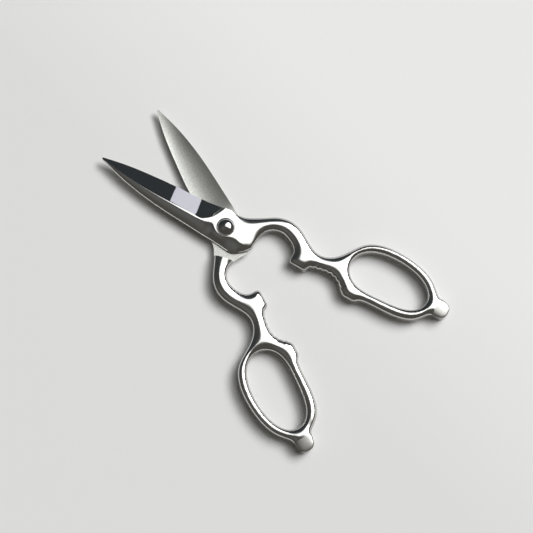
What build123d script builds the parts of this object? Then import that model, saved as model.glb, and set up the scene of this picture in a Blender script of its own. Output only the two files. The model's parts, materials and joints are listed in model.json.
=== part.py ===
"""All-steel poultry shears: two forged halves turning on a screw.

Each half is drawn in its own plan frame: the pivot is at 0, +X runs towards the handle, +Y is the
outer side of the handle, and Z = 0 is the plane where the two halves slide on each other.
The lower half is the same forging turned over. The assembly's origin is where the pivot axis
meets the surface that the shears lie on, with the blades towards +Y.
"""
import os

from build123d import *

# Driving dimensions, millimetres and degrees
THICKNESS = 7.6           # handles and stacked bosses, from the resting surface to the top
MID = THICKNESS / 2       # height of the sliding plane
SLIDE_GAP = 0.05          # each inner face stands this far from the sliding plane
HALF_OPENING = 15.6       # each half is turned this far from the centre line at rest
HANDLE_EDGE = 1.5         # rounding along the handle's edges

RIDGE_HEEL = (-13.5, -3.7, 3.6)      # the blade's outer ridge, from the boss to the tip
RIDGE_TIP = (-79.6, 0.1, 1.2)
EDGE_MIDDLE = (-46.0, 6.35, 0.4)     # the cutting edge is left this thick above the inner face
SPINE_MIDDLE = (-45.0, -7.65, 1.4)   # the spine is left this thick
BOSS_SLOPE_Y = -4.3                  # beyond this line the boss slopes down to its spine side
BOSS_SPINE = (0.0, -10.5, 2.1)
PLUNGE = [(-13.5, -3.7), (-9.0, 1.6), (-5.5, 14.0)]   # where the bevel runs out at the boss

STEP_OUTER = (8.4, 15.4)  # the step up from the sliding face to the full handle, outer end
STEP_INNER = (21.0, 3.4)  # and inner end, in the opener's recess

TAB_ROOT = 120.5          # the lifter tab is thinned from here
TAB_TIP = 131.0           # to here
TAB_HALF = 2.3            # where half its thickness is left

TEETH = 8                 # bumps of the toothed jaw
TOOTH_RADIUS = 0.75
TOOTH_DEPTH = 0.3

SHANK_RADIUS = 2.5        # the pivot screw's plain shank
RUNNING = 0.06            # radial clearance of the shank in both bosses
THREAD_RADIUS = 1.95
HEAD_RADIUS = 4.9
HEAD_HEIGHT = 2.9
HEAD_EDGE = 0.4           # straight rim below the dome
WASHER_RADIUS = 5.0
WASHER_THICKNESS = 0.5
SEAT_DEPTH = 0.3          # spot face of the washer in the upper boss
SEAT_RADIUS = 5.3
NUT_RADIUS = 4.6
NUT_THICKNESS = 1.8
NUT_BORE_FLOOR = 0.5
SPRING_THICKNESS = 0.4
POCKET_RADIUS = 4.8       # pocket of the nut in the lower boss
POCKET_DEPTH = 2.3
SPANNER_HOLE_RADIUS = 0.6
SPANNER_HOLE_OFFSET = 3.1
SPANNER_HOLE_DEPTH = 1.0
WASHER_BORE = SHANK_RADIUS + 0.1

# Outline of one half, as smooth runs that meet at corners
CUTTING_EDGE = [(-79.9, 0.95), (-70, 3.2), (-58, 5.1), (-46, 6.35), (-33, 7.4), (-22, 7.85), (-15.5, 8.3)]
BACK = [
    (-15.5, 8.3), (-9, 9.35), (0, 10.1), (6, 10.85), (11, 13.3), (16, 16.5), (21.5, 20.0), (29, 22.0),
    (36, 20.7), (44.3, 16.1), (52, 13.2), (59, 15.3), (65.8, 22.8), (72, 31.4), (80, 35.6), (91, 37.0),
    (103, 35.9), (114.5, 31.4), (118.8, 27.8), (121.8, 25.6), (125, 24.9), (128, 24.2),
]
TAB_END = [(128, 24.2), (129.5, 22.5), (129.9, 20.2), (129.4, 17.3), (127.8, 15.5)]
RING_INNER = [
    (127.8, 15.5), (124.8, 14.8), (121.9, 14.0), (119.6, 11.7), (115.7, 7.2), (110, 4.3), (102, 2.8),
    (93, 2.35), (87, 1.85), (83.6, 0.7), (81.8, -0.6), (80.3, -1.0),
]
BUMP = [(80.3, -1.0), (75.3, -1.0)]
JAW = [
    (75.3, -1.0), (73, 0.2), (70.2, 3.1), (66.5, 5.5), (61.5, 6.4), (56.5, 5.5), (52.6, 4.4),
    (51.0, 3.2), (50.0, 1.4), (48.8, 0.6),
]
HOOK_FLAT = [(48.8, 0.6), (41.2, 0.55)]
HOOK_TIP = [(41.2, 0.55), (39.8, 1.4), (39.35, 3.2)]
RECESS = [
    (39.35, 3.2), (39.4, 5.6), (38.5, 8.2), (36.5, 10.3), (33, 12.2), (28.5, 13.3), (24.3, 12.4),
    (21, 9.8), (19.2, 6.4), (18.5, 2.5), (18.3, -3.4),
]
BOSS_END = [(18.3, -3.4), (17.0, -5.2), (12.5, -9.1), (9.8, -10.6), (7.3, -10.85)]
SPINE = [
    (7.3, -10.85), (0, -10.15), (-8, -9.85), (-18, -9.4), (-31, -8.75), (-45, -7.65), (-59, -5.6),
    (-70, -3.1), (-77.5, -0.9), (-79.9, -0.25),
]
TIP = [(-79.9, -0.25), (-80.4, 0.35), (-79.9, 0.95)]
RING_HOLE = [
    (70.1, 19.0), (72.6, 12.0), (79.5, 8.0), (90, 7.6), (101, 8.55), (110.2, 10.9), (115.5, 15.6),
    (116.2, 21.3), (111.5, 27.3), (102.5, 31.0), (91.5, 32.0), (81, 30.4), (73.5, 26.2),
]
OUTLINE = [
    CUTTING_EDGE, BACK, TAB_END, RING_INNER, BUMP, JAW, HOOK_FLAT, HOOK_TIP, RECESS, BOSS_END, SPINE, TIP,
]


def run_edge(points):
    """One smooth run of the outline: a straight line or a curve through its points."""
    if len(points) == 2:
        return Line(*points)
    return Spline(*points)


def plan_face():
    """The half's outline with the finger hole cut out."""
    outside = Wire([run_edge(points).edge() for points in OUTLINE])
    hole = Wire([Spline(*RING_HOLE, periodic=True).edge()])
    return make_face(outside) - make_face(hole)


def prism(corners, low, high):
    """A straight block over a polygon in plan."""
    area = make_face(Polyline(*corners, close=True))
    return extrude(area, high - low).moved(Location((0, 0, low)))


def above_plane(block, a, b, c):
    """The part of a block above the plane through three points."""
    plane = Plane(origin=a, x_dir=Vector(*b) - Vector(*a), z_dir=(Vector(*b) - Vector(*a)).cross(
        Vector(*c) - Vector(*a)))
    if plane.z_dir.Z < 0:
        plane = -plane
    return split(block, bisect_by=plane, keep=Keep.TOP)


def bevel_waste():
    """What the grinding of the cutting bevel takes off the blade."""
    tip_side = (-90.0, 0.5)
    arc = ThreePointArc(*PLUNGE)
    rest = Polyline(PLUNGE[-1], (-90.0, 14.0), tip_side, RIDGE_TIP[:2], PLUNGE[0])
    area = make_face(Wire([arc.edge()] + list(rest.edges())))
    block = extrude(area, MID + 1)
    return above_plane(block, RIDGE_HEEL, RIDGE_TIP, EDGE_MIDDLE)


def spine_waste():
    """What is taken off between the ridge and the blade's spine."""
    corners = [(-90.0, 0.5), RIDGE_TIP[:2], RIDGE_HEEL[:2], (RIDGE_HEEL[0], -14.0), (-90.0, -14.0)]
    return above_plane(prism(corners, 0.0, MID + 1), RIDGE_HEEL, RIDGE_TIP, SPINE_MIDDLE)


def boss_waste():
    """The slope that runs on from the spine side over the boss."""
    end = 24.0
    near = RIDGE_HEEL[0]
    corners = [(near, BOSS_SLOPE_Y), (end, BOSS_SLOPE_Y), (end, -14.0), (near, -14.0)]
    edge_a = (near, BOSS_SLOPE_Y, MID)
    edge_b = (end, BOSS_SLOPE_Y, MID)
    return above_plane(prism(corners, 0.0, MID + 1), edge_a, edge_b, BOSS_SPINE)


def lap_waste():
    """What is missing below the blade and boss, so that the other half can slide past."""
    corners = [STEP_OUTER, STEP_INNER, (24.0, -14.0), (-90.0, -14.0), (-90.0, 16.0)]
    return prism(corners, -MID - 1, SLIDE_GAP)


def jaw_grooves():
    """The gaps between the teeth, spread evenly along the jaw's curve."""
    curve = Spline(*JAW)
    start, stop = 0.12, 0.82
    grooves = []
    for index in range(TEETH):
        point = curve @ (start + (stop - start) * index / (TEETH - 1))
        centre = point - Vector(0, TOOTH_RADIUS - TOOTH_DEPTH, 0)
        grooves.append(Pos(centre.X, centre.Y, 0) * Cylinder(TOOTH_RADIUS, THICKNESS + 2))
    return grooves


def tab_waste():
    """The wedges that thin the lifter tab towards its end, above and below."""
    corners = [(TAB_ROOT, 8.0), (TAB_ROOT, 32.0), (TAB_TIP, 32.0), (TAB_TIP, 8.0)]
    top = above_plane(
        prism(corners, 0.0, MID + 1), (TAB_ROOT, 8.0, MID), (TAB_ROOT, 32.0, MID), (TAB_TIP, 8.0, TAB_HALF))
    return top, Rot(180, 0, 0) * Pos(0, -40.0, 0) * top


def round_handle(half):
    """Round the long edges of the handle's back and of the finger hole."""
    edges = [edge for edge in half.edges() if edge.center().X > 60 and edge.length > 100]
    return fillet(edges, HANDLE_EDGE)


def forging():
    """One half with its blade on top, before the pivot's holes are made."""
    half = extrude(plan_face(), THICKNESS).moved(Location((0, 0, -MID)))
    half -= lap_waste()
    half -= bevel_waste()
    half -= spine_waste()
    half -= boss_waste()
    for groove in jaw_grooves():
        half -= groove
    half = round_handle(half)
    for wedge in tab_waste():
        half -= wedge
    return half


def place_upper(shape):
    """From the plan frame to the assembly, with the handle on the +X side."""
    return Pos(0, 0, MID) * Rot(0, 0, HALF_OPENING - 90) * shape


def place_lower(shape):
    """The same turned over, with the handle on the -X side."""
    return Pos(0, 0, MID) * Rot(0, 0, -HALF_OPENING - 90) * Rot(180, 0, 0) * shape


def disc(radius, low, high):
    """A plain disc on the pivot axis, in the assembly's frame."""
    return Pos(0, 0, (low + high) / 2) * Cylinder(radius, high - low)


def upper_half():
    half = place_upper(forging())
    half -= disc(SHANK_RADIUS + RUNNING, 0, THICKNESS + 1)
    half -= disc(SEAT_RADIUS, THICKNESS - SEAT_DEPTH, THICKNESS + 1)
    return half


def lower_half():
    half = place_lower(forging())
    half -= disc(SHANK_RADIUS + RUNNING, 0, THICKNESS + 1)
    half -= disc(POCKET_RADIUS, -1, POCKET_DEPTH)
    return half


def head_washer():
    low = THICKNESS - SEAT_DEPTH
    ring = disc(WASHER_RADIUS, low, low + WASHER_THICKNESS)
    return ring - disc(WASHER_BORE, 0, THICKNESS + 1)


def pivot_screw():
    """Domed head, plain shank through both bosses and a threaded end in the nut."""
    base = THICKNESS - SEAT_DEPTH + WASHER_THICKNESS
    rim = base + HEAD_EDGE
    cap = HEAD_HEIGHT - HEAD_EDGE
    ball_radius = (HEAD_RADIUS ** 2 + cap ** 2) / (2 * cap)
    ball = Pos(0, 0, rim + cap - ball_radius) * Sphere(ball_radius)
    head = disc(HEAD_RADIUS, base, base + HEAD_HEIGHT + 1) & ball
    shank = disc(SHANK_RADIUS, NUT_THICKNESS + 0.05, base + HEAD_EDGE / 2)
    thread = disc(THREAD_RADIUS, NUT_BORE_FLOOR + 0.1, NUT_THICKNESS + 0.5)
    return head + shank + thread


def pivot_nut():
    """Round flush nut with two spanner holes in its outer face."""
    nut = disc(NUT_RADIUS, 0, NUT_THICKNESS)
    nut -= disc(THREAD_RADIUS + 0.02, NUT_BORE_FLOOR, NUT_THICKNESS + 1)
    for side in (-1, 1):
        nut -= Pos(side * SPANNER_HOLE_OFFSET, 0, 0) * Cylinder(SPANNER_HOLE_RADIUS, 2 * SPANNER_HOLE_DEPTH)
    return nut


def spring_washer():
    """Thin dished washer between the nut and the floor of its pocket."""
    low = NUT_THICKNESS + 0.02
    dish = POCKET_DEPTH - 0.02 - low - SPRING_THICKNESS + 0.05
    outer = NUT_RADIUS - 0.2
    section = make_face(Polyline(
        (WASHER_BORE, low + dish), (outer, low), (outer, low + SPRING_THICKNESS - 0.05),
        (WASHER_BORE, low + dish + SPRING_THICKNESS - 0.05), close=True))
    return revolve(Plane.XZ * section, Axis.Z)


PARTS = {
    "upper_half": upper_half,
    "lower_half": lower_half,
    "pivot_screw": pivot_screw,
    "head_washer": head_washer,
    "spring_washer": spring_washer,
    "pivot_nut": pivot_nut,
}

os.makedirs("parts", exist_ok=True)
for name, make in PARTS.items():
    shape = make()
    solids = shape.solids()
    print(name, len(solids), "solid", round(shape.volume, 1), "mm3")
    export_step(shape, f"parts/{name}.step")
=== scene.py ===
import json
import math

import bpy
import numpy as np
from mathutils import Matrix, Vector
from mathutils.geometry import delaunay_2d_cdt
from mathutils.kdtree import KDTree

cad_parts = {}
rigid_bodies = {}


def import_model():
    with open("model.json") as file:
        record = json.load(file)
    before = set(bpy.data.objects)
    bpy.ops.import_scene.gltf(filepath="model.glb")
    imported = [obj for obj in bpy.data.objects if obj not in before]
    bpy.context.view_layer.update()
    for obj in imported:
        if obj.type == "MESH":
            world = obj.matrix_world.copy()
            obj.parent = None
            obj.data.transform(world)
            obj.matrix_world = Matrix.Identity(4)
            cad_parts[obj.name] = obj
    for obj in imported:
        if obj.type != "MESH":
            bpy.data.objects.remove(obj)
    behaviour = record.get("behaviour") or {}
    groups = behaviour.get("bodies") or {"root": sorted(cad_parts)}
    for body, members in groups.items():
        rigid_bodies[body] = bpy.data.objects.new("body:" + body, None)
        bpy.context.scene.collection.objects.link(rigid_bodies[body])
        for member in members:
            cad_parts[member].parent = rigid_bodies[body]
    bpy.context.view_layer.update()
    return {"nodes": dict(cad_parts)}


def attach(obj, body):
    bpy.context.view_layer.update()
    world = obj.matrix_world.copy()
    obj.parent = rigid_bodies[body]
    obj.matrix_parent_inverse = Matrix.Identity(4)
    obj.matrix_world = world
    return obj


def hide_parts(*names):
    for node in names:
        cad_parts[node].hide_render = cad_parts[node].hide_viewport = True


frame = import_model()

# Sizes of one half in its own plan frame, in millimetres: the pivot at 0, +X towards the handle,
# +Y to the handle's outer side, and z = 0 on the plane where the halves slide on each other
MM = 0.001
MID = 3.8  # height of the sliding plane above the floor
SLIDE_GAP = 0.05
HALF_OPENING = math.radians(15.6)
BAND = 1.1  # half height of the rim along the parting line
LEDGE = 0.28  # width of the flat land on the rim
LAND_SLOPE = 0.12
SPINE_LAND_SLOPE = -0.16  # the land along the spine leans inwards and catches the light; its material is also a lighter copy of the land's steel, a painted highlight
CROWN_REACH = 4.5  # how far from an edge the handle's crown keeps rising
CROWN_BLEND = 2.0  # the crown's height is evened out over this distance
EDGE_ROUND = 0.3  # rounding along the boss and the blade's spine
STEP_OUTER = (8.4, 15.4)  # the step from the sliding face up to the handle
STEP_INNER = (21.0, 3.4)
STEP_OVERRUN = (4, -3.8)  # the mesh follows the step this far past both its ends
RECESS_SHIFT = 8.0  # on the opener's side the crown runs on to the boss's corner
RECESS_ALONG = (9, 15)
RECESS_ACROSS = (-6, 4)
STEP_FADE = (-12.5, -5.0)  # across the step, where square sides turn into the crown
RIDGE = [
    (-79.9, 0.2), (-68, -1.6), (-56, -2.7), (-44, -3.2), (-30, -2.95), (-20, -2.75), (-15.5, -2.75),
]
RIDGE_START = -8.0  # the ridge falls from here towards the tip
RIDGE_FALL = 0.008  # by this slope, growing with a curve over the blade's length
RIDGE_CURVE = 0.0004
RIDGE_SOFT = 0.8
HANDLE_START = 40.0  # nothing past here belongs to the blade or boss
EDGE_AT_BOSS = 9.5  # the blade's outer side, past the end of the cutting edge
CLEAR_CORNER = (-95.0, 16.0)  # a place outside the blade, past its tip and its cutting edge
PLUNGE = [
    (-15.5, -2.75), (-13.8, -2.4), (-12.4, -1.45), (-9.8, 0.8), (-7.9, 3.6), (-6.4, 6.85), (-5.2, 10.5),
]
PLUNGE_WIDTH = 3.0
STRIP_LEAN = 0.07  # lean of the narrow strip between the ridge and the flank
STRIP_FADE = (11, 15)
BEVEL_SLOPE = 0.2469
WAVE = 0.07  # lean of the polish beyond two slanted lines across the bevel
WAVE_SLANT = -0.2
WAVE_TIP = (34.2, 36.6)
WAVE_HEEL = (-19.6, -17.4)
FLANK = [  # where the outer face starts to fall towards the spine
    (-79.9, 0.06), (-68, -1.78), (-56, -2.86), (-44, -3.42), (-35, -3.5), (-19.5, -3.5), (-13.3, -3.2),
    (-10.2, -2.4), (-9.0, -1.76), (-7.44, -1.6), (-5.5, -2.9), (-3.4, -4.4), (0, -5.0), (2.1, -4.4),
    (4.5, -2.95), (7.3, -2.2), (10.5, -2.8), (14.8, -3.6), (24, -4.2),
]
FLANK_TURN = math.radians(80)  # lean of the flank at the rim
FLANK_START = math.radians(20)  # and at the blade's ridge
FLANK_FADE = (-14, -5)  # where the blade's ridge ends at the boss
SPINE_END = 7.3  # the spine runs this far before the boss's slanted end
HOLLOW = 0.3  # hollow grinding of the inner face
HOLLOW_HEEL = (-20, -9)  # which ends here by the boss
HOLLOW_TIP = (-80, -55)  # and here towards the tip
HOLLOW_LEAN = 0.2  # extra lean of its polish towards the spine
LEAN_HEEL = (-14, -4)
LEAN_TIP = (-90, -50)
TAB_ROOT = 120.5
TAB_FALL = 0.142
TAB_SOFT = 0.7
TAB_FADE = (121.0, 124.0)  # the crown turns into the tab's flat face and square sides
TAB_SQUARE = 0.6  # whose edges stay partly rounded
TAB_FACE = 122.5  # the tab's satin face starts here
TEETH = 8
TOOTH_DEPTH = 0.42
TEETH_SPAN = (0.08, 0.86)
BORE = 2.56
SEAT_RADIUS = 5.3
SEAT_DEPTH = 0.3
POCKET_RADIUS = 4.8
POCKET_DEPTH = 2.3

CUTTING_EDGE = [
    (-79.9, 0.95), (-70, 3.2), (-58, 5.1), (-46, 6.35), (-33, 7.4), (-22, 7.85), (-15.5, 8.3),
]
BACK = [
    (-15.5, 8.3), (-9, 9.35), (0, 10.1), (6, 10.85), (11, 13.3), (16, 16.5), (21.5, 20.0), (29, 22.0),
    (36, 20.7), (44.3, 16.1), (52, 13.2), (59, 15.3), (65.8, 22.8), (72, 31.4), (80, 35.6), (91, 37.0),
    (103, 35.9), (114.5, 31.4), (118.8, 27.8), (121.8, 25.6), (125, 24.9), (128, 24.2),
]
TAB_END = [(128, 24.2), (129.5, 22.5), (129.9, 20.2), (129.4, 17.3), (127.8, 15.5)]
RING_INNER = [
    (127.8, 15.5), (124.8, 14.8), (121.9, 14.0), (119.6, 11.7), (115.7, 7.2), (110, 4.3), (102, 2.8),
    (93, 2.35), (87, 1.85), (83.6, 0.7), (81.8, -0.6), (80.3, -1.0),
]
BUMP = [(80.3, -1.0), (75.3, -1.0)]
JAW = [
    (75.3, -1.0), (73, 0.2), (70.2, 3.1), (66.5, 5.5), (61.5, 6.4), (56.5, 5.5), (52.6, 4.4),
    (51.0, 3.2), (50.0, 1.4), (48.8, 0.6),
]
HOOK_FLAT = [(48.8, 0.6), (41.2, 0.55)]
HOOK_TIP = [(41.2, 0.55), (39.8, 1.4), (39.35, 3.2)]
RECESS = [
    (39.35, 3.2), (39.4, 5.6), (38.5, 8.2), (36.5, 10.3), (33, 12.2), (28.5, 13.3), (24.3, 12.4),
    (21, 9.8), (19.2, 6.4), (18.5, 2.5), (18.3, -3.4),
]
BOSS_END = [(18.3, -3.4), (17.0, -5.2), (12.5, -9.1), (9.8, -10.6), (7.3, -10.85)]
SPINE = [
    (7.3, -10.85), (0, -10.15), (-8, -9.85), (-18, -9.4), (-31, -8.75), (-45, -7.65), (-59, -5.6),
    (-70, -3.1), (-77.5, -0.9), (-79.9, -0.25),
]
TIP = [(-79.9, -0.25), (-80.4, 0.35), (-79.9, 0.95)]
RING_HOLE = [
    (70.1, 19.0), (72.6, 12.0), (79.5, 8.0), (90, 7.6), (101, 8.55), (110.2, 10.9), (115.5, 15.6),
    (116.2, 21.3), (111.5, 27.3), (102.5, 31.0), (91.5, 32.0), (81, 30.4), (73.5, 26.2),
]
OUTLINE = [
    CUTTING_EDGE, BACK, TAB_END, RING_INNER, BUMP, JAW,
    HOOK_FLAT, HOOK_TIP, RECESS, BOSS_END, SPINE, TIP,
]

EDGE_STEP = 0.36  # spacing of vertices along the outline
JAW_STEP = 0.18
LAYERS = (0.14, LEDGE, 0.32, 0.41, 0.55, 0.75, 1.0, 1.35, 1.75)  # rows of vertices along the edges
GRID_STEP = 0.6  # spacing of vertices further in
GRID_ROW = 0.866  # distance of its rows, for triangles with sides of 1
GRID_MARGIN = 2.1
ROW_SHARE = 0.97  # a row's vertex is kept if no other edge is nearer than this share
SERRATION = (-41.0, -20.0)  # stretch of the upper blade's edge that is finely serrated
SERRATION_PITCH = 0.62
SERRATION_DEPTH = 0.16
LINE_STEP = 0.5
LINE_CLEARANCE = 0.2
LINE_MARGIN = 0.3  # feature lines stop this far from the boundary
LINE_JOIN = 0.7  # and are joined to it from this distance
SLOPE_STEP = 0.02  # step for slopes found by difference
SHARP_COSINE = 0.8  # sides that meet at a sharper corner than this keep their own normals


# Curves

def bend_rates(t, knots, closed):
    """Second derivatives at the knots of the smooth curve through them."""
    n = len(t)
    h = np.diff(t)
    matrix = np.zeros((n, n))
    right = np.zeros((n, 2))
    slopes = np.diff(knots, axis=0) / h[:, None]
    for i in range(1, n - 1):
        matrix[i, i - 1:i + 2] = h[i - 1], 2 * (h[i - 1] + h[i]), h[i]
        right[i] = 6 * (slopes[i] - slopes[i - 1])
    matrix[0, 0] = 1
    matrix[-1, -1] = 1
    if closed:
        matrix[0, -1] = -1
        matrix[-1] = 0
        matrix[-1, 0] = 2 * h[0]
        matrix[-1, 1] = h[0]
        matrix[-1, -2] = h[-1]
        matrix[-1, -1] = 2 * h[-1]
        right[-1] = 6 * (slopes[0] - slopes[-1])
    return np.linalg.solve(matrix, right)


def curve_points(knots, step, closed=False):
    """Points evenly spread along the smooth curve through the knots, both ends included."""
    knots = np.array(knots + knots[:1] if closed else knots, float)
    t = np.append(0, np.cumsum(np.hypot(*np.diff(knots, axis=0).T)))
    rates = bend_rates(t, knots, closed) if len(knots) > 2 else np.zeros((2, 2))
    fine = np.linspace(0, t[-1], 40 * len(knots))
    k = np.clip(np.searchsorted(t, fine, side="right") - 1, 0, len(t) - 2)
    h = (t[k + 1] - t[k])[:, None]
    a = (t[k + 1] - fine)[:, None] / h
    b = 1 - a
    points = a * knots[k] + b * knots[k + 1]
    points += ((a ** 3 - a) * rates[k] + (b ** 3 - b) * rates[k + 1]) * h * h / 6
    return even_points(points, step)


def even_points(points, step):
    """The same line with its points evenly spaced."""
    length = np.append(0, np.cumsum(np.hypot(*np.diff(points, axis=0).T)))
    wanted = np.linspace(0, length[-1], max(2, round(length[-1] / step) + 1))
    return np.stack([np.interp(wanted, length, points[:, i]) for i in (0, 1)], 1)


def normals_of(points, closed):
    """Unit vectors to the left of a line of points."""
    if closed:
        along = np.roll(points, -1, 0) - np.roll(points, 1, 0)
    else:
        along = np.gradient(points, axis=0)
    along /= np.hypot(*along.T)[:, None]
    return np.stack([-along[:, 1], along[:, 0]], 1)


def toothed(points):
    """The jaw's line with rounded teeth pressed into it."""
    share = np.linspace(0, 1, len(points))
    place = (share - TEETH_SPAN[0]) / (TEETH_SPAN[1] - TEETH_SPAN[0])
    inside = (place > 0) & (place < 1)
    depth = np.where(inside, TOOTH_DEPTH * (1 - np.abs(np.sin(np.pi * TEETH * place))), 0)
    return points - normals_of(points, False) * depth[:, None]


def serrated(points):
    """The cutting edge with fine teeth along one stretch."""
    x = points[:, 0]
    cut = (x > SERRATION[0]) & (x < SERRATION[1])
    depth = np.where(cut, SERRATION_DEPTH * np.abs(np.sin(np.pi * x / SERRATION_PITCH)), 0)
    return points - normals_of(points, False) * depth[:, None]


def outline_points(fine_edge):
    """The half's closed outline, clockwise from the blade's tip."""
    rows = []
    for run in OUTLINE:
        step = EDGE_STEP
        if run is JAW or (run is CUTTING_EDGE and fine_edge):
            step = JAW_STEP
        points = curve_points(run, step)
        if run is JAW:
            points = toothed(points)
        if run is CUTTING_EDGE and fine_edge:
            points = serrated(points)
        rows.append(points[:-1])
    return np.concatenate(rows)


def circle_points(radius, count):
    angle = np.arange(count) * 2 * math.pi / count
    return radius * np.stack([np.cos(angle), np.sin(angle)], 1)


# Shape of the surfaces, as heights over the plan

def smooth(x, low, high):
    t = np.clip((x - low) / (high - low), 0, 1)
    return t * t * (3 - 2 * t)


def over_step(x, y):
    """Distance past the step, towards the handle."""
    ax, ay = STEP_OUTER
    bx, by = STEP_INNER
    length = math.hypot(bx - ax, by - ay)
    return ((x - ax) * (ay - by) + (y - ay) * (bx - ax)) / length


def squareness(x, y):
    """1 where the sides are square, on boss, blade and tab, and 0 where they are crowned."""
    recess_side = RECESS_SHIFT * smooth(x, *RECESS_ALONG) * smooth(-y, *RECESS_ACROSS)
    before_step = 1 - smooth(over_step(x, y) + recess_side, *STEP_FADE)
    return np.maximum(before_step, TAB_SQUARE * smooth(x, *TAB_FADE))


RIDGE_LINE = curve_points(RIDGE, LINE_STEP)
PLUNGE_LINE = curve_points(PLUNGE, LINE_STEP)
FLANK_LINE = curve_points(FLANK, LINE_STEP)
EDGE_LINE = curve_points(CUTTING_EDGE, LINE_STEP)
SPINE_LINE = curve_points(SPINE, LINE_STEP)[::-1]
BEVEL_AREA = np.concatenate([
    RIDGE_LINE,
    PLUNGE_LINE[1:],
    [(PLUNGE[-1][0], CLEAR_CORNER[1]), CLEAR_CORNER, (CLEAR_CORNER[0], RIDGE[0][1])],
])


def ridge_y(x):
    return np.interp(x, RIDGE_LINE[:, 0], RIDGE_LINE[:, 1])


def flank_y(x):
    return np.interp(x, FLANK_LINE[:, 0], FLANK_LINE[:, 1])


def flat_top(x, y):
    """Outer face of the blade, boss and handle before it is crowned."""
    run = np.where(x < HANDLE_START, past(RIDGE_START - x, RIDGE_SOFT), 0)
    top = MID - RIDGE_FALL * run - RIDGE_CURVE * run ** 2
    return top - TAB_FALL * past(x - TAB_ROOT, TAB_SOFT)


def past(x, soft):
    """x where it is positive and 0 where it is negative, with a soft change."""
    return np.logaddexp(0, x / soft) * soft


def line_distance(x, y, line):
    """Distance from points to a line of points."""
    best = np.full(len(x), 1e9)
    for (ax, ay), (bx, by) in zip(line[:-1], line[1:]):
        ux, uy = bx - ax, by - ay
        t = np.clip(((x - ax) * ux + (y - ay) * uy) / (ux * ux + uy * uy), 0, 1)
        best = np.minimum(best, np.hypot(x - ax - t * ux, y - ay - t * uy))
    return best


def bevel_top(x, y):
    """The ground cutting bevel with its rounded run-out."""
    ridge = flat_top(x, y)
    bevel = ridge - BEVEL_SLOPE * np.maximum(y - ridge_y(x), 0)
    rise = np.clip(1 - line_distance(x, y, PLUNGE_LINE) / PLUNGE_WIDTH, 0, 1) ** 2
    return bevel + (ridge - bevel) * rise


def blade_share(x, y):
    """0 at the blade's spine and 1 at its cutting edge."""
    edge = np.interp(x, EDGE_LINE[:, 0], EDGE_LINE[:, 1], right=EDGE_AT_BOSS)
    spine = np.interp(x, SPINE_LINE[:, 0], SPINE_LINE[:, 1])
    return np.clip((y - spine) / np.maximum(edge - spine, 0.1), 0, 1)


def inner_face(x, y):
    """The sliding face, hollow ground along the blade."""
    t = blade_share(x, y)
    depth = HOLLOW * (1 - smooth(x, *HOLLOW_HEEL)) * smooth(x, *HOLLOW_TIP)
    return SLIDE_GAP + depth * 4 * t * (1 - t)


def sliding_face(x, y):
    """The inner face as a height above the sliding plane, for the half with its blade on top."""
    return -inner_face(x, y)


def gradient(height, x, y):
    """Slopes of a surface along X and Y."""
    d = SLOPE_STEP
    along = (height(x + d, y) - height(x - d, y)) / (2 * d)
    across = (height(x, y + d) - height(x, y - d)) / (2 * d)
    return np.stack([along, across], 1)


# Plan mesh of one half

def inside(loop, points):
    """Which points lie inside a closed loop."""
    result = np.zeros(len(points), bool)
    x, y = points.T
    for (ax, ay), (bx, by) in zip(loop, np.roll(loop, -1, 0)):
        if ay == by:
            continue
        crosses = (ay > y) != (by > y)
        result ^= crosses & (x < (bx - ax) * (y - ay) / (by - ay) + ax)
    return result


def nearest(points, targets):
    """Distance to the nearest target and its index, for each point."""
    tree = KDTree(len(targets))
    for i, (x, y) in enumerate(targets):
        tree.insert((x, y, 0), i)
    tree.balance()
    found = [tree.find((x, y, 0)) for x, y in points]
    return np.array([f[2] for f in found]), np.array([f[1] for f in found])


def feature_line(points, boundary):
    """A feature line cut off at the boundary, with its ends on boundary vertices."""
    distance, _ = nearest(points, boundary)
    kept = points[distance > LINE_MARGIN]
    for _ in range(2):
        kept = kept[::-1]
        end = boundary[nearest(kept[-1:], boundary)[1][0]]
        if np.hypot(*(end - kept[-1])) < LINE_JOIN:
            kept = np.vstack([kept, end])
    return kept


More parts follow.
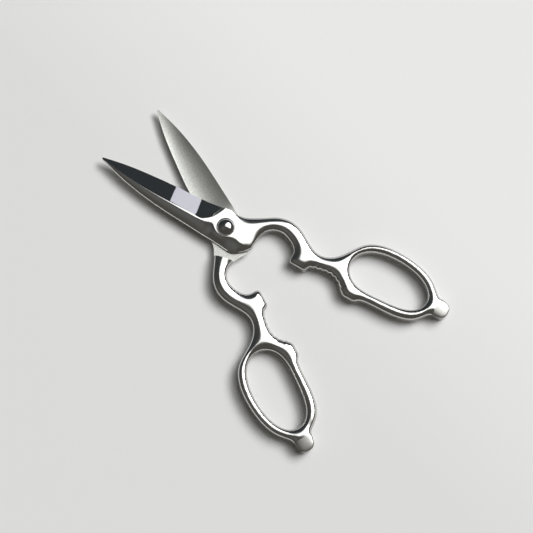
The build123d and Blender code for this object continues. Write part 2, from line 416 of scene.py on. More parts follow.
class Plan:
    """The plan of one half: its outline, its ring hole and its bore."""

    def __init__(self, fine_edge):
        self.outline = outline_points(fine_edge)
        self.hole = curve_points(RING_HOLE, EDGE_STEP, closed=True)[:-1]
        self.bore = circle_points(BORE, 40)
        self.loops = [self.outline, self.hole, self.bore]
        self.boundary = np.concatenate(self.loops)

    def solid(self, points):
        """Which points lie in the metal."""
        in_hole = inside(self.hole, points) | inside(self.bore, points)
        return inside(self.outline, points) & ~in_hole

    def edges(self):
        """Edges of the loops, as pairs of places in the boundary."""
        pairs = []
        start = 0
        for loop in self.loops:
            count = len(loop)
            pairs += [(start + i, start + (i + 1) % count) for i in range(count)]
            start += count
        return pairs

    def inward(self):
        """Directions from the boundary's points into the metal."""
        directions = []
        for loop in self.loops:
            away = -normals_of(loop, True)
            if self.solid(loop + 0.05 * away).mean() < 0.5:
                away = -away
            directions.append(away)
        return np.concatenate(directions)

    def feature_lines(self):
        """Lines that the mesh follows, each with whether it is closed."""
        over = np.array(STEP_OVERRUN)
        step = even_points(np.array([STEP_OUTER - over, STEP_INNER + over]), LINE_STEP)
        ridge = np.concatenate([RIDGE_LINE, PLUNGE_LINE[1:]])
        lines = [(circle_points(POCKET_RADIUS, 72), True), (circle_points(SEAT_RADIUS, 80), True)]
        for line in (step, ridge, FLANK_LINE):
            line = line[inside(self.outline, line)]
            lines.append((feature_line(line, self.boundary), False))
        return lines

    def rows(self):
        """Points in rows along the boundary."""
        inward = self.inward()
        found = []
        for depth in LAYERS:
            row = self.boundary + depth * inward
            distance, _ = nearest(row, self.boundary)
            found.append(row[(distance > ROW_SHARE * depth) & self.solid(row)])
        return np.concatenate(found)

    def grid(self):
        """Points of an even grid away from the boundary."""
        low, high = self.outline.min(0), self.outline.max(0)
        rows = []
        for j, y in enumerate(np.arange(low[1], high[1], GRID_STEP * GRID_ROW)):
            x = np.arange(low[0] + (j % 2) * GRID_STEP / 2, high[0], GRID_STEP)
            rows.append(np.stack([x, np.full(len(x), y)], 1))
        points = np.concatenate(rows)
        points = points[self.solid(points)]
        distance, _ = nearest(points, self.boundary)
        return points[distance > GRID_MARGIN]


def joined_lines(plan, lines):
    """Points of the boundary and the lines, without repeats, and the edges along them."""
    points = [plan.boundary]
    edges = plan.edges()
    count = len(plan.boundary)
    for line, closed in lines:
        ids = []
        fresh = []
        distance, index = nearest(line, np.concatenate(points))
        for p, d, i in zip(line, distance, index):
            if d < 1e-6:
                ids.append(int(i))
            else:
                ids.append(count + len(fresh))
                fresh.append(p)
        count += len(fresh)
        points.append(np.array(fresh).reshape(-1, 2))
        edges += list(zip(ids[:-1], ids[1:]))
        if closed:
            edges.append((ids[-1], ids[0]))
    return np.concatenate(points), edges


def plan_mesh(fine_edge):
    """Vertices and triangles of the plan, with the outline's and the holes' vertices first."""
    plan = Plan(fine_edge)
    lines = plan.feature_lines()
    filling = np.concatenate([plan.rows(), plan.grid()])
    distance, _ = nearest(filling, np.concatenate([line for line, _ in lines]))
    filling = filling[distance > LINE_CLEARANCE]
    points, edges = joined_lines(plan, lines)
    points = np.concatenate([points, filling])
    found = delaunay_2d_cdt([Vector(p) for p in points.tolist()], edges, [], 0, 1e-7)
    vertices = np.array([v[:] for v in found[0]])
    triangles = np.array(found[2])
    triangles = triangles[plan.solid(vertices[triangles].mean(1))]
    a, b, c = (vertices[triangles[:, i]] for i in range(3))
    backward = cross(b - a, c - a) < 0
    triangles[backward] = triangles[backward][:, ::-1]
    return vertices, triangles


# Crown of the handle: a membrane over the plan, held down along the handle's edges

def corner_weights(vertices, triangles):
    """Edge weights and corner areas of the membrane's triangles."""
    p = vertices[triangles]
    area = np.zeros(len(vertices))
    size = 0.5 * np.abs(cross(p[:, 1] - p[:, 0], p[:, 2] - p[:, 0]))
    rows, columns, weights = [], [], []
    for i in range(3):
        j, k = (i + 1) % 3, (i + 2) % 3
        u, v = p[:, j] - p[:, i], p[:, k] - p[:, i]
        cotangent = (u * v).sum(1) / np.maximum(cross(u, v), 1e-9)
        rows.append(triangles[:, j])
        columns.append(triangles[:, k])
        weights.append(0.5 * cotangent)
        area += np.bincount(triangles[:, i], size / 3, len(vertices))
    return np.concatenate(rows), np.concatenate(columns), np.concatenate(weights), area


def cross(u, v):
    return u[:, 0] * v[:, 1] - u[:, 1] * v[:, 0]


def membrane(vertices, triangles, fixed, height, target, reach):
    """Solves for a smooth height, kept where fixed, that is drawn to the target over the reach."""
    i, j, weight, area = corner_weights(vertices, triangles)
    n = len(vertices)
    diagonal = np.bincount(i, weight, n) + np.bincount(j, weight, n) + area / reach ** 2

    def apply(x):
        return diagonal * x - np.bincount(i, weight * x[j], n) - np.bincount(j, weight * x[i], n)

    free = ~fixed
    rest = np.where(free, target * area / reach ** 2 - apply(height), 0)
    scaled = rest / diagonal
    step = scaled.copy()
    energy = rest @ scaled
    for _ in range(600):
        pushed = np.where(free, apply(step), 0)
        length = energy / (step @ pushed)
        height = height + length * step
        rest -= length * pushed
        if np.abs(rest).max() < 1e-8:
            break
        scaled = rest / diagonal
        energy, before = rest @ scaled, energy
        step = scaled + energy / before * step
    return height


def membrane_slope(vertices, triangles, height):
    """Slope of the membrane at each vertex."""
    p = vertices[triangles]
    z = height[triangles]
    double = cross(p[:, 1] - p[:, 0], p[:, 2] - p[:, 0])[:, None]
    slope = np.zeros((len(triangles), 2))
    for i in range(3):
        side = p[:, (i + 2) % 3] - p[:, (i + 1) % 3]
        slope += z[:, i:i + 1] * np.stack([-side[:, 1], side[:, 0]], 1)
    total = np.zeros((len(vertices), 2))
    weight = np.zeros(len(vertices))
    for i in range(3):
        for k in (0, 1):
            total[:, k] += np.bincount(triangles[:, i], slope[:, k], len(vertices))
        weight += np.bincount(triangles[:, i], double[:, 0], len(vertices))
    return total / weight[:, None]


# One half as a closed mesh with its own normals

HANDLE, BEVEL, SPINE_SIDE, SEAT, SLIDING, LAND, WALL, TAB, SPINE_LAND = range(9)


class Half:
    """Surface heights and normals of one half, by region, at every vertex of the plan mesh."""

    def __init__(self, vertices, triangles, seat_radius, seat_depth):
        self.vertices = vertices
        self.triangles = triangles
        self.seat_radius = seat_radius
        self.seat_depth = seat_depth
        x, y = vertices.T
        self.rim = rim_edges(triangles)
        on_rim = np.zeros(len(vertices), bool)
        on_rim[self.rim.ravel()] = True
        outer = on_rim & (np.hypot(x, y) > BORE + 0.5)
        drop = np.where(outer, np.sqrt(1 - squareness(x, y) ** 2), 0)
        drop = membrane(vertices, triangles, outer, drop, 0, CROWN_REACH)
        slope = membrane_slope(vertices, triangles, drop)
        full = 1 - drop ** 2 + CROWN_REACH ** 2 * (slope ** 2).sum(1)
        full = np.where(outer, 1, np.clip(full, 0.1, 1))
        none = np.zeros(len(x), bool)
        self.full = membrane(vertices, triangles, none, full, full, CROWN_BLEND)
        self.full_slope = membrane_slope(vertices, triangles, self.full)
        self.lift = 1 - drop
        self.slope = -slope
        self.edge_distance(outer)

    def edge_distance(self, outer):
        """Distance from the outline and its direction, for the rounding of square edges."""
        points = self.vertices
        after = np.arange(len(points))
        before = after.copy()
        after[self.rim[:, 0]] = self.rim[:, 1]
        before[self.rim[:, 1]] = self.rim[:, 0]
        _, index = nearest(points, points[outer])
        near = np.flatnonzero(outer)[index]
        self.distance = np.full(len(points), 1e9)
        self.away = np.zeros_like(points)
        for a, b in ((before[near], near), (near, after[near])):
            run = points[b] - points[a]
            along = ((points - points[a]) * run).sum(1) / (run * run).sum(1)
            offset = points - points[a] - np.clip(along, 0, 1)[:, None] * run
            distance = np.hypot(*offset.T)
            closer = distance < self.distance
            self.distance[closer] = distance[closer]
            self.away[closer] = offset[closer] / np.maximum(distance[closer], 1e-9)[:, None]
        self.distance[outer] = 0
        self.away[outer] = 0

    def crown(self):
        """How much of the full height is left towards the rim's land, and its slope."""
        x, y = self.vertices.T
        reach = np.maximum(self.distance, LEDGE)
        shift = LEDGE * (1 - squareness(x, y)) / reach
        lift = self.lift * (1 - shift)
        climb = self.slope * (1 - shift)[:, None] + (self.lift * shift / reach)[:, None] * self.away
        crown = np.sqrt(np.maximum(1 - (1 - lift) ** 2, 1e-4) / self.full)
        slope = ((1 - lift) / (self.full * crown))[:, None] * climb
        slope -= (crown / (2 * self.full))[:, None] * self.full_slope
        return crown, slope

    def crowned(self, height, rounding):
        """Heights and normals of a face that falls to the rim's land at its edges."""
        x, y = self.vertices.T
        top = height(x, y) - BAND
        crown, climb = self.crown()
        z = BAND + top * crown
        slope = top[:, None] * climb + gradient(height, x, y) * crown[:, None]
        slope[:, 1] -= STRIP_LEAN * smooth(-x, *STRIP_FADE)
        if rounding:
            reach = np.clip(EDGE_ROUND - self.distance, 0, EDGE_ROUND * 0.98) * squareness(x, y)
            z = z - (EDGE_ROUND - np.sqrt(EDGE_ROUND ** 2 - reach ** 2))
            slope = slope + (reach / np.sqrt(EDGE_ROUND ** 2 - reach ** 2))[:, None] * self.away
        return z, facing(slope)

    def plain(self, height, lean=0.0):
        """Heights and normals of a face that keeps its height up to the rim."""
        x, y = self.vertices.T
        return height(x, y), facing(gradient(height, x, y) + lean)

    def seat_face(self, x, y):
        """The floor of the screw's seat or of the nut's pocket."""
        return np.full(len(x), MID - self.seat_depth)

    def hollow_lean(self):
        """How the polish of the hollow leans towards the spine."""
        x, y = self.vertices.T
        lean = HOLLOW_LEAN * (1 - blade_share(x, y))
        lean = lean * (1 - smooth(x, *LEAN_HEEL)) * smooth(x, *LEAN_TIP)
        return np.stack([np.zeros(len(x)), -lean], 1)

    def bevel_waves(self):
        """The slight waves that polishing leaves in the bevel."""
        x, y = self.vertices.T
        along = x - WAVE_SLANT * y
        outward = smooth(-along, *WAVE_TIP)
        inward = smooth(along, *WAVE_HEEL)
        return np.stack([WAVE * (outward + inward), np.zeros(len(x))], 1)

    def land(self, slope=LAND_SLOPE):
        """The narrow flat land along the rim."""
        inward = np.clip(self.distance, 0, LEDGE) - LEDGE
        away = np.where(self.distance[:, None] > 0, self.away, 0)
        return BAND + slope * inward, facing(slope * away)

    def spine_side(self):
        """The flank from the ridge down to the rim of the spine, and the boss's slope."""
        x, y = self.vertices.T
        over_boss = x > SPINE_END
        to_land = np.where(over_boss, y - SPINE[0][1], self.distance) - LEDGE
        to_land = np.maximum(to_land, 0)
        from_land = np.where(over_boss[:, None], (0.0, 1.0), self.away)
        to_ridge = np.maximum(flank_y(x) - y, 0)
        flank_slope = (flank_y(x + SLOPE_STEP) - flank_y(x - SLOPE_STEP)) / (2 * SLOPE_STEP)
        from_ridge = np.stack([flank_slope, np.full(len(x), -1.0)], 1)
        total = np.maximum(to_ridge + to_land, 0.05)
        t = to_ridge / total
        change = (to_land[:, None] * from_ridge - to_ridge[:, None] * from_land) / total[:, None] ** 2
        first = FLANK_START * (1 - smooth(x, *FLANK_FADE))
        turn = first + (FLANK_TURN - first) * t
        span = np.cos(first) - math.cos(FLANK_TURN)
        share = (np.cos(turn) - math.cos(FLANK_TURN)) / span
        steep = -(FLANK_TURN - first) * np.sin(turn) / span
        top = flat_top(x, y) - BAND
        crown, climb = self.crown()
        slope = gradient(flat_top, x, y) * (share * crown)[:, None] + (top * share)[:, None] * climb
        slope += (top * crown * steep)[:, None] * change
        return BAND + top * share * crown, facing(slope)

    def at_rim(self):
        """Which triangles lie on the rim's land."""
        return self.distance[self.triangles].max(1) < LEDGE + 0.01

    def upper_faces(self):
        """Region of each triangle on the blade's outer side, with the surfaces of the regions."""
        centres = self.vertices[self.triangles].mean(1)
        x, y = centres.T
        region = np.full(len(x), HANDLE)
        region[y < flank_y(x)] = SPINE_SIDE
        region[inside(BEVEL_AREA, centres)] = BEVEL
        at_rim = self.at_rim()
        region[at_rim & (squareness(x, y) < 0.5)] = LAND
        region[at_rim & (region == SPINE_SIDE) & (x < SPINE_END)] = SPINE_LAND
        region[(region == HANDLE) & (x > TAB_FACE)] = TAB
        region[np.hypot(x, y) < self.seat_radius] = SEAT
        surfaces = {
            HANDLE: self.crowned(flat_top, True),
            TAB: self.crowned(flat_top, True),
            SPINE_SIDE: self.spine_side(),
            BEVEL: self.plain(bevel_top, self.bevel_waves()),
            SEAT: self.plain(self.seat_face),
            LAND: self.land(),
            SPINE_LAND: self.land(SPINE_LAND_SLOPE),
        }
        return region, surfaces

    def lower_faces(self):
        """The same on the sliding side, as heights below the sliding plane."""
        x, y = self.vertices[self.triangles].mean(1).T
        region = np.where(over_step(x, y) > 0, HANDLE, SLIDING)
        region[self.at_rim() & (region == HANDLE) & (squareness(x, y) < 0.5)] = LAND
        region[(region == HANDLE) & (x > TAB_FACE)] = TAB
        surfaces = {
            HANDLE: self.crowned(flat_top, False),
            TAB: self.crowned(flat_top, False),
            SLIDING: self.plain(sliding_face, self.hollow_lean()),
            LAND: self.land(),
        }
        return region, surfaces


def facing(slope):
    """Unit normals of a surface from its slopes along X and Y."""
    normals = np.column_stack([-slope, np.ones(len(slope))])
    return normals / np.linalg.norm(normals, axis=1)[:, None]


def rim_edges(triangles):
    """Directed edges that belong to one triangle only."""
    edges = np.concatenate([triangles[:, [0, 1]], triangles[:, [1, 2]], triangles[:, [2, 0]]])
    key = np.sort(edges, axis=1)
    code = key[:, 0].astype(np.int64) * (triangles.max() + 1) + key[:, 1]
    _, index, count = np.unique(code, return_index=True, return_counts=True)
    return edges[index[count == 1]]


class Builder:
    """Collects the vertices, faces, normals and materials of one mesh."""

    def __init__(self):
        self.ids = {}
        self.points = []
        self.faces = []
        self.normals = []
        self.slots = []

    def vertex(self, plan_id, x, y, z):
        key = (plan_id, round(z, 5))
        if key not in self.ids:
            self.ids[key] = len(self.points)
            self.points.append((x, y, z))
        return self.ids[key]

    def stacks(self):
        """The heights used so far at each plan vertex."""
        stacks = {}
        for plan_id, z in self.ids:
            stacks.setdefault(plan_id, []).append(z)
        return stacks

    def face(self, ids, normals, slot):
        if len(set(ids)) < 3:
            return
        self.faces.append(ids)
        self.normals += normals
        self.slots.append(slot)


def add_sheet(build, half, faces, side):
    """Adds one side's triangles and the walls between its regions.

    Returns the regions' heights, and the region on the left of each directed edge.
    """
    region, surfaces = faces
    heights = {r: surfaces[r][0] * side for r in surfaces}
    normals = {r: surfaces[r][1] * (1, 1, side) for r in surfaces}
    points = half.vertices
    edge_owner = {}
    for triangle, r in zip(half.triangles.tolist(), region.tolist()):
        ids = [build.vertex(i, *points[i], heights[r][i]) for i in triangle]
        directions = [tuple(normals[r][i]) for i in triangle]
        if side < 0:
            ids.reverse()
            directions.reverse()
        build.face(ids, directions, r)
        for i in range(3):
            edge_owner[(triangle[i], triangle[(i + 1) % 3])] = r
    stacks = build.stacks()
    for (a, b), r in edge_owner.items():
        other = edge_owner.get((b, a))
        if other is None or other == r:
            continue
        over = side * (heights[r][a] + heights[r][b] - heights[other][a] - heights[other][b])
        if over > 0 or (over == 0 and r > other):
            add_wall(build, stacks, points, a, b, heights[r], heights[other], side)
    return heights, edge_owner


def add_wall(build, stacks, points, a, b, high, low, side):
    """A wall along the edge from a to b, between the two heights of the regions beside it."""
    corners = [(b, z) for z in stack_between(stacks[b], high[b], low[b])]
    corners += [(a, z) for z in stack_between(stacks[a], low[a], high[a])]
    if side > 0:
        corners.reverse()
    ids = []
    for i, z in corners:
        index = build.vertex(i, *points[i], z)
        if index not in ids:
            ids.append(index)
    build.face(ids, [tuple(sideways(points[a], points[b]))] * len(ids), WALL)


def sideways(start, stop):
    """Unit vector to the right of an edge in the plan."""
    along = stop - start
    return Vector((along[1], -along[0], 0)).normalized()


def rim_normals(half):
    """Sideways normals at the rim's vertices, kept apart where the outline has a corner."""
    points = half.vertices
    outward = {(a, b): sideways(points[a], points[b]) for a, b in half.rim.tolist()}
    around = {}
    for edge, normal in outward.items():
        for end in edge:
            around.setdefault(end, []).append(normal)
    result = {}
    for edge, normal in outward.items():
        alike = [[n for n in around[end] if normal.dot(n) > SHARP_COSINE] for end in edge]
        result[edge] = [tuple(sum(found, Vector((0, 0, 0))).normalized()) for found in alike]
    return result


def stack_between(stack, start, stop):
    """The heights used at one vertex from start to stop, both included."""
    start, stop = round(start, 5), round(stop, 5)
    found = sorted(z for z in stack if min(start, stop) <= z <= max(start, stop))
    return found if start <= stop else found[::-1]


def half_mesh(half):
    """Both sides of a half and the band around its rim, in the half's own frame."""
    build = Builder()
    top, top_owner = add_sheet(build, half, half.upper_faces(), 1)
    low, low_owner = add_sheet(build, half, half.lower_faces(), -1)
    stacks = build.stacks()
    for (a, b), (facing_a, facing_b) in rim_normals(half).items():
        over, under = top[top_owner[(a, b)]], low[low_owner[(a, b)]]
        left = stack_between(stacks[a], over[a], under[a])
        right = stack_between(stacks[b], under[b], over[b])
        ids = [build.vertex(a, *half.vertices[a], z) for z in left]
        ids += [build.vertex(b, *half.vertices[b], z) for z in right]
        build.face(ids, [facing_a] * len(left) + [facing_b] * len(right), WALL)
    return build


def forging(name, half, turned_over, angle, body, node, materials):
    """The finished half as an object, placed in the assembly."""
    build = half_mesh(half)
    points = np.array(build.points)
    normals = np.array(build.normals)
    plan = points[:, :2].copy()
    if turned_over:
        points = points * (1, -1, -1)
        normals = normals * (1, -1, -1)
    cosine, sine = math.cos(angle), math.sin(angle)
    turn = np.array([[cosine, sine, 0], [-sine, cosine, 0], [0, 0, 1]])
    points = points @ turn + (0, 0, MID)
    mesh = bpy.data.meshes.new(name)
    mesh.from_pydata((points * MM).tolist(), [], build.faces)
    mesh.polygons.foreach_set("use_smooth", [True] * len(mesh.polygons))
    mesh.polygons.foreach_set("material_index", build.slots)
    for material in materials:
        mesh.materials.append(material)
    corners = np.zeros(len(mesh.loops), int)
    mesh.loops.foreach_get("vertex_index", corners)
    layer = mesh.uv_layers.new(name="plan")
    layer.data.foreach_set("uv", (plan[corners] * MM).ravel())
    mesh.update()
    mesh.normals_split_custom_set((normals @ turn).tolist())
    add_piece(mesh, body, node)


def add_object(name, data):
    shown = bpy.data.objects.new(name, data)
    bpy.context.scene.collection.objects.link(shown)
    return shown


def add_piece(mesh, body, node):
    """An object for the mesh, which rides on its body in place of its CAD node."""
    shown = add_object(mesh.name, mesh)
    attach(shown, body)
    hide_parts(node)


# Turned pieces

def lathe(name, profile, body, node, material):
    """A turned piece on the pivot axis, from (radius, height) pairs, outside upwards."""
    segments = TURNED_SEGMENTS
    rings = []
    points = []
    for radius, z in profile:
        if rings and (radius, z) == profile[0]:
            rings.append(rings[0])
            continue
        if radius < 1e-6:
            rings.append([len(points)])
            points.append((0, 0, z * MM))
            continue
        ring = circle_points(radius * MM, segments)
        rings.append(list(range(len(points), len(points) + segments)))
        points += [(x, y, z * MM) for x, y in ring]
    faces = []
    for low, high in zip(rings, rings[1:]):
        for i in range(segments):
            j = (i + 1) % segments
            quad = [low[i % len(low)], low[j % len(low)], high[j % len(high)], high[i % len(high)]]
            faces.append(list(dict.fromkeys(quad)))
    mesh = bpy.data.meshes.new(name)
    mesh.from_pydata(points, [], faces)
    mesh.materials.append(material)
    mesh.polygons.foreach_set("use_smooth", [True] * len(mesh.polygons))
    mesh.update()
    mesh.set_sharp_from_angle(angle=math.radians(35))
    add_piece(mesh, body, node)


# Materials

class Nodes:
    """Short calls for building one node tree."""

    def __init__(self, tree):
        self.tree = tree
        tree.nodes.clear()

    def add(self, kind, inputs=None, **settings):
        node = self.tree.nodes.new(kind)
        for key, value in settings.items():
            setattr(node, key, value)
        for key, value in (inputs or {}).items():
            if isinstance(value, bpy.types.NodeSocket):
                self.tree.links.new(value, node.inputs[key])
            else:
                node.inputs[key].default_value = value
        return node

    def math(self, operation, a, b):
        return self.add("ShaderNodeMath", {0: a, 1: b}, operation=operation).outputs[0]

    def product(self, first, *others):
        """All the values multiplied together."""
        for other in others:
            first = self.math("MULTIPLY", first, other)
        return first

    def dot(self, vector, axis):
        node = self.add("ShaderNodeVectorMath", {0: vector, 1: axis}, operation="DOT_PRODUCT")
        return node.outputs["Value"]

    def mix(self, share, first, second):
        """A colour between two colours."""
        node = self.add("ShaderNodeMix", {
            0: share, 6: (*first, 1.0), 7: (*second, 1.0)}, data_type="RGBA")
        return node.outputs[2]

    def step(self, value, low, high):
        """A smooth rise from 0 at low to 1 at high, or a fall where high is the smaller one."""
        node = self.add("ShaderNodeMapRange", {
            "Value": value, "From Min": low, "From Max": high}, interpolation_type="SMOOTHSTEP")
        return node.outputs[0]

    def edge(self, value, at, soft):
        """A soft edge that rises at a value, or falls there where soft is negative."""
        return self.step(value, at - soft, at + soft)

    def spread(self, value, low, high, to_low=0.0, to_high=1.0):
        """The value carried evenly from one range to another."""
        node = self.add("ShaderNodeMapRange", {
            "Value": value, "From Min": low, "From Max": high, "To Min": to_low, "To Max": to_high})
        return node.outputs[0]

    def noise(self, vector, scale, detail=3.0, rough=0.5):
        node = self.add("ShaderNodeTexNoise", {
            "Vector": vector, "Scale": scale, "Detail": detail, "Roughness": rough})
        return node.outputs[0]

    def stretched(self, vector, turn, scale):
        """The vector turned in plan and stretched, for grain that runs one way."""
        node = self.add("ShaderNodeMapping", {
            "Vector": vector, "Rotation": (0, 0, turn), "Scale": scale}, vector_type="TEXTURE")
        return node.outputs[0]


def new_material(name):
    material = bpy.data.materials.new(name)
    material.use_nodes = True
    return material, Nodes(material.node_tree)


SCRATCHES = (  # turn and stretch, the level above which they show, and strength
    (0.5, (0.006, 0.00006, 0.01), 0.68, 0.6),
    (-0.9, (0.005, 0.00005, 0.01), 0.7, 0.5),
)
NOISE_SPAN = (0.3, 0.7)  # where most of the noise lies
HAZE_SIZE = 55.0
SPECK_SIZE = 900.0
BUMP_HEIGHT = 0.00004
GRAIN_DEPTH = 0.01


def scratch_marks(nodes, place):
    """Fine scratches in two directions."""
    marks = []
    for turn, stretch, level, strength in SCRATCHES:
        value = nodes.noise(nodes.stretched(place, turn, stretch), 1.0, 2.0)
        marks.append(nodes.product(nodes.math("GREATER_THAN", value, level), strength))
    return nodes.math("ADD", *marks)


def specked(nodes, place, colour, amount):
    """The colour with small darker and lighter specks."""
    specks = nodes.noise(place, SPECK_SIZE, 6.0, 0.75)
    dark, light = ([c * (1 + side * amount) for c in colour] for side in (-1, 1))
    return nodes.mix(nodes.spread(specks, 0.35, 0.65), dark, light)


def steel(name, colour, rough, haze=0.02, grain=0.0, grain_turn=0.0, grain_size=(0.02, 0.00012),
          mottle=0.0, along_plan=True):
    """Bare stainless steel with polishing haze, fine scratches and, where it is brushed, grain."""
    material, nodes = new_material(name)
    place = nodes.add("ShaderNodeTexCoord").outputs["UV" if along_plan else "Object"]
    cloud = nodes.noise(place, HAZE_SIZE, 4.0)
    fine = nodes.noise(nodes.stretched(place, grain_turn, (*grain_size, GRAIN_DEPTH)), 1.0, 4.0, 0.65)
    roughness = nodes.spread(cloud, *NOISE_SPAN, rough - haze, rough + haze)
    roughness = nodes.math("ADD", roughness, nodes.product(scratch_marks(nodes, place), 0.05))
    if grain:
        streaks = nodes.spread(fine, *NOISE_SPAN, -0.1 * grain, 0.1 * grain)
        roughness = nodes.math("ADD", roughness, streaks)
    bump = nodes.add("ShaderNodeBump", {
        "Height": fine if grain else cloud, "Strength": grain or 0.02, "Distance": BUMP_HEIGHT})
    shine = nodes.add("ShaderNodeBsdfPrincipled", {
        "Base Color": specked(nodes, place, colour, mottle) if mottle else (*colour, 1.0),
        "Metallic": 1.0, "Roughness": roughness, "Normal": bump.outputs[0]})
    nodes.add("ShaderNodeOutputMaterial", {"Surface": shine.outputs[0]})
    return material


POLISHED = (0.62, 0.62, 0.605)
SATIN = (0.58, 0.58, 0.56)


def forging_materials():
    """One material for each region of a half, in the order of the region numbers."""
    return [
        steel("polished_handle", POLISHED, 0.13, grain=0.06, grain_size=(0.004, 0.0005)),
        steel("mirror_bevel", POLISHED, 0.05, haze=0.01),
        steel("polished_spine_side", POLISHED, 0.1),
        steel("turned_seat", SATIN, 0.3),
        steel("satin_sliding_face", (0.56, 0.565, 0.535), 0.4,
              grain=0.5, grain_turn=math.radians(82), mottle=0.16),
        # painted shade: the rim's land gets a much darker steel colour, which dims its reflections
        steel("rim_land_painted_shade", (0.21, 0.205, 0.195), 0.4),
        steel("ground_edges", (0.42, 0.415, 0.4), 0.28, grain=0.15, grain_size=(0.002, 0.0003)),
        steel("satin_tab", (0.4, 0.4, 0.38), 0.4, grain=0.15, grain_size=(0.003, 0.0002)),
        # painted highlight: the land along the spine gets a lighter copy of the land's steel, for its
        # bright line
        steel("spine_land_painted_highlight", (0.46, 0.455, 0.44), 0.3),
    ]


def add_forgings():
    top = Half(*plan_mesh(True), SEAT_RADIUS, SEAT_DEPTH)
    low = Half(*plan_mesh(False), POCKET_RADIUS, POCKET_DEPTH)
    materials = forging_materials()
    quarter = math.pi / 2
    forging("upper_forging", top, False, HALF_OPENING - quarter, "upper", "upper_half", materials)
    forging("lower_forging", low, True, -HALF_OPENING - quarter, "lower", "lower_half", materials)


HEAD_BASE = 7.8
HEAD_RADIUS = 4.9
HEAD_RIM = 0.4
HEAD_DOME = 2.5
HEAD_EDGE = 0.12
DOME_STEPS = 26
SHANK_RADIUS = 2.5
SHANK_END = 2.3
THREAD_RADIUS = 1.95
THREAD_END = 0.6
WASHER = (2.6, 5.0, 7.3, 7.8)  # inner and outer radius, underside and top
WASHER_EDGE = 0.08
TURNED_SEGMENTS = 96


def add_screw():
    ball = (HEAD_RADIUS ** 2 + HEAD_DOME ** 2) / (2 * HEAD_DOME)
    centre = HEAD_BASE + HEAD_RIM + HEAD_DOME - ball
    start = math.degrees(math.atan2(HEAD_BASE + HEAD_RIM - centre, HEAD_RADIUS)) + 1.5
    dome = []
    for k in range(DOME_STEPS):
        angle = math.radians(start + (90 - start) * k / DOME_STEPS)
        dome.append((ball * math.cos(angle), centre + ball * math.sin(angle)))
    dome.append((0, centre + ball))
    profile = [
        (0, THREAD_END),
        (THREAD_RADIUS - 0.2, THREAD_END),
        (THREAD_RADIUS, THREAD_END + 0.2),
        (THREAD_RADIUS, SHANK_END),
        (SHANK_RADIUS, SHANK_END),
        (SHANK_RADIUS, HEAD_BASE),
        (HEAD_RADIUS - HEAD_EDGE, HEAD_BASE),
        (HEAD_RADIUS, HEAD_BASE + HEAD_EDGE),
        (HEAD_RADIUS, HEAD_BASE + HEAD_RIM - 0.1),
    ]
    material = steel("polished_screw", (0.55, 0.55, 0.545), 0.12, along_plan=False)
    lathe("screw_with_head", profile + dome, "lower", "pivot_screw", material)


def add_washer():
    inner, outer, low, high = WASHER
    edge = WASHER_EDGE
    profile = [
        (inner, low),
        (outer - edge, low),
        (outer, low + edge),
        (outer, high - edge),
        (outer - edge, high),
        (inner, high),
        (inner, low),
    ]
    material = steel("turned_washer", SATIN, 0.22, along_plan=False)
    lathe("washer_under_head", profile, "lower", "head_washer", material)


def finish_hidden_nodes():
    """The nut and the spring washer keep their CAD shape and get their steel."""
    nut = steel("turned_nut", SATIN, 0.25, grain=0.2, grain_size=(0.003, 0.0002), along_plan=False)
    spring = steel("spring_steel", (0.36, 0.36, 0.37), 0.3, along_plan=False)
    for node, material in (("pivot_nut", nut), ("spring_washer", spring)):
        shown = frame["nodes"][node]
        for slot in shown.material_slots:
            slot.material = material


# Stage

LIGHT_AZIMUTH = math.radians(-44.5)
HORIZON = 0.02  # no window reaches below this height of the direction
WINDOW_START = -0.05  # gnomonic edges of the window: along the light's azimuth
WINDOW_END = 1.35
WINDOW_LOW = 0.1  # to its right, where it widens with a slant
WINDOW_SLANT = 0.3
WINDOW_HIGH = 1.2  # to its left, where its start slants away above a corner
WINDOW_CORNER = 0.5
WINDOW_RAKE = 0.75
WINDOW_GLOW = 2.1  # radiance on the near side
WINDOW_SUN = 10.1  # added towards the far side
SUN_ALONG = (0.3, 0.9)
SUN_ACROSS = (-0.1, 0.45)
WINDOW_COLOUR = (0.985, 0.985, 0.98, 1.0)
SKY_CENTRE = (-0.5, -0.3)  # a faint cool glow opposite the window
SKY_REACH = (0.6, 0.05)
SKY_LIGHT = 0.06
SKY_COLOUR = (0.85, 0.95, 1.1, 1.0)
PANEL_ACROSS = (-0.4, -0.28)  # a small second panel, seen in the cutting bevel
PANEL_ALONG = (0.9, 1.0)
PANEL_TURN = math.radians(-32.3)
PANEL_COLOUR = (0.94, 0.93, 1.06, 1.0)
ROOM_RIGHT = (0.094, 0.089, 0.078)
ROOM_LEFT = (0.042, 0.048, 0.053)
ROOM_FADE = (-0.2, 0.6)
FLOOR_REACH = 6.0
FLOOR_SHADED = (0.8, 0.8, 0.795)
FLOOR_LIT = (0.91, 0.91, 0.905)
FLOOR_LIGHT_FALLOFF = (-0.02, 0.1)  # painted light: along X, from the darker end to the paler end on the window's side
CAMERA_TARGET = Vector((1.25, -31.25, 3.8)) * MM
CAMERA_FROM = Vector((-0.2187, -0.1590, 0.9628))
CAMERA_UP = Vector((0.7013, 0.7129, 0.0))
CAMERA_DISTANCE = 773.6 * MM
CAMERA_FOV = math.radians(21.56)


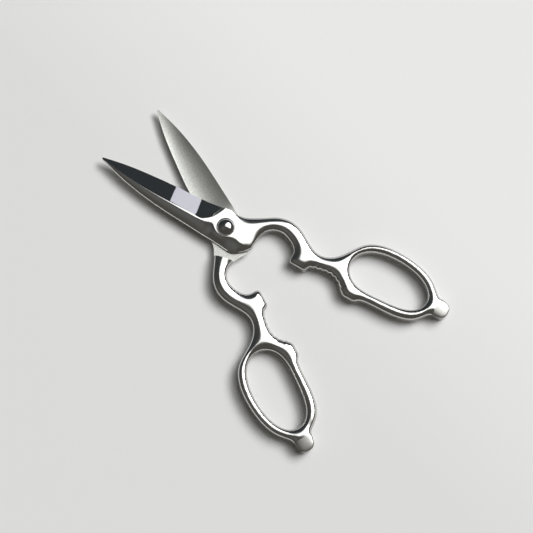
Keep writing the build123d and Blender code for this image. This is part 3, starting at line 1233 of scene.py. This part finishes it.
def add_floor():
    mesh = bpy.data.meshes.new("floor")
    corners = [(x * FLOOR_REACH, y * FLOOR_REACH, 0) for x, y in ((-1, -1), (1, -1), (1, 1), (-1, 1))]
    mesh.from_pydata(corners, [], [(0, 1, 2, 3)])
    shown = add_object("floor", mesh)
    material, nodes = new_material("floor")
    place = nodes.add("ShaderNodeTexCoord").outputs["Object"]
    across = nodes.add("ShaderNodeSeparateXYZ", {0: place}).outputs["X"]
    # painted light: the floor's colour ramps paler towards +X, the window's side, standing in for the
    # window's falloff
    painted_falloff = nodes.mix(nodes.spread(across, *FLOOR_LIGHT_FALLOFF), FLOOR_SHADED, FLOOR_LIT)
    shine = nodes.add("ShaderNodeBsdfPrincipled", {"Base Color": painted_falloff, "Roughness": 0.6})
    shine.inputs["Specular IOR Level"].default_value = 0.2
    nodes.add("ShaderNodeOutputMaterial", {"Surface": shine.outputs[0]})
    mesh.materials.append(material)


def window_light(nodes, p, q, above):
    """The large window, brighter towards its far side."""
    slanted = nodes.math("ADD", q, nodes.product(p, WINDOW_SLANT))
    past_corner = nodes.math("MAXIMUM", nodes.math("SUBTRACT", q, WINDOW_CORNER), 0.0)
    raked = nodes.math("SUBTRACT", p, nodes.product(past_corner, WINDOW_RAKE))
    shape = nodes.product(
        nodes.edge(slanted, WINDOW_LOW, 0.08), nodes.edge(q, WINDOW_HIGH, -0.1),
        nodes.edge(raked, WINDOW_START, 0.04), nodes.edge(p, WINDOW_END, -0.1), above)
    sun = nodes.product(nodes.step(p, *SUN_ALONG), nodes.step(q, *SUN_ACROSS), WINDOW_SUN)
    return nodes.product(shape, nodes.math("ADD", sun, WINDOW_GLOW))


def panel_light(nodes, p, q, above):
    """The small panel, square to its own turned axes."""
    cosine, sine = math.cos(PANEL_TURN), math.sin(PANEL_TURN)
    across = nodes.math("ADD", nodes.product(p, cosine), nodes.product(q, sine))
    onward = nodes.math("SUBTRACT", nodes.product(q, cosine), nodes.product(p, sine))
    start, stop = PANEL_ACROSS
    near, far = PANEL_ALONG
    return nodes.product(
        nodes.edge(across, start, 0.006), nodes.edge(across, stop, -0.006),
        nodes.edge(onward, near, 0.01), nodes.edge(onward, far, -0.01), above)


def sky_light(nodes, p, q):
    """The faint round glow."""
    offset = nodes.add("ShaderNodeCombineXYZ", {
        0: nodes.math("SUBTRACT", p, SKY_CENTRE[0]), 1: nodes.math("SUBTRACT", q, SKY_CENTRE[1])})
    length = nodes.add("ShaderNodeVectorMath", {0: offset.outputs[0]}, operation="LENGTH")
    return nodes.product(nodes.step(length.outputs["Value"], *SKY_REACH), SKY_LIGHT)


def add_world():
    """A dark room with one large soft window overhead, leaning to the light's side."""
    world = bpy.data.worlds.new("studio")
    bpy.context.scene.world = world
    world.use_nodes = True
    nodes = Nodes(world.node_tree)
    direction = nodes.add("ShaderNodeTexCoord").outputs["Generated"]
    ahead = (math.cos(LIGHT_AZIMUTH), math.sin(LIGHT_AZIMUTH), 0)
    left = (-ahead[1], ahead[0], 0)
    forward, sideward, height = (nodes.dot(direction, axis) for axis in (ahead, left, (0, 0, 1)))
    above = nodes.math("GREATER_THAN", height, HORIZON)
    raised = nodes.math("MAXIMUM", height, HORIZON)
    p = nodes.math("DIVIDE", forward, raised)
    q = nodes.math("DIVIDE", sideward, raised)
    lights = (
        (WINDOW_COLOUR, window_light(nodes, p, q, above)),
        (nodes.mix(nodes.step(sideward, *ROOM_FADE), ROOM_RIGHT, ROOM_LEFT), 1.0),
        (PANEL_COLOUR, panel_light(nodes, p, q, above)),
        (SKY_COLOUR, sky_light(nodes, p, q)),
    )
    total, *others = (
        nodes.add("ShaderNodeBackground", {"Color": colour, "Strength": strength}).outputs[0]
        for colour, strength in lights)
    for light in others:
        total = nodes.add("ShaderNodeAddShader", {0: total, 1: light}).outputs[0]
    nodes.add("ShaderNodeOutputWorld", {"Surface": total})


def add_camera():
    data = bpy.data.cameras.new("camera")
    camera = add_object("camera", data)
    back = CAMERA_FROM.normalized()
    right = CAMERA_UP.cross(back).normalized()
    up = back.cross(right)
    place = CAMERA_TARGET + back * CAMERA_DISTANCE
    columns = [(*axis, 0) for axis in (right, up, back)] + [(*place, 1)]
    camera.matrix_world = Matrix(columns).transposed()
    data.sensor_fit = "HORIZONTAL"
    data.angle = CAMERA_FOV
    data.clip_start = 0.01
    bpy.context.scene.camera = camera


add_forgings()
add_screw()
add_washer()
finish_hidden_nodes()
add_floor()
add_world()
add_camera()
bpy.context.scene.view_settings.view_transform = "Standard"
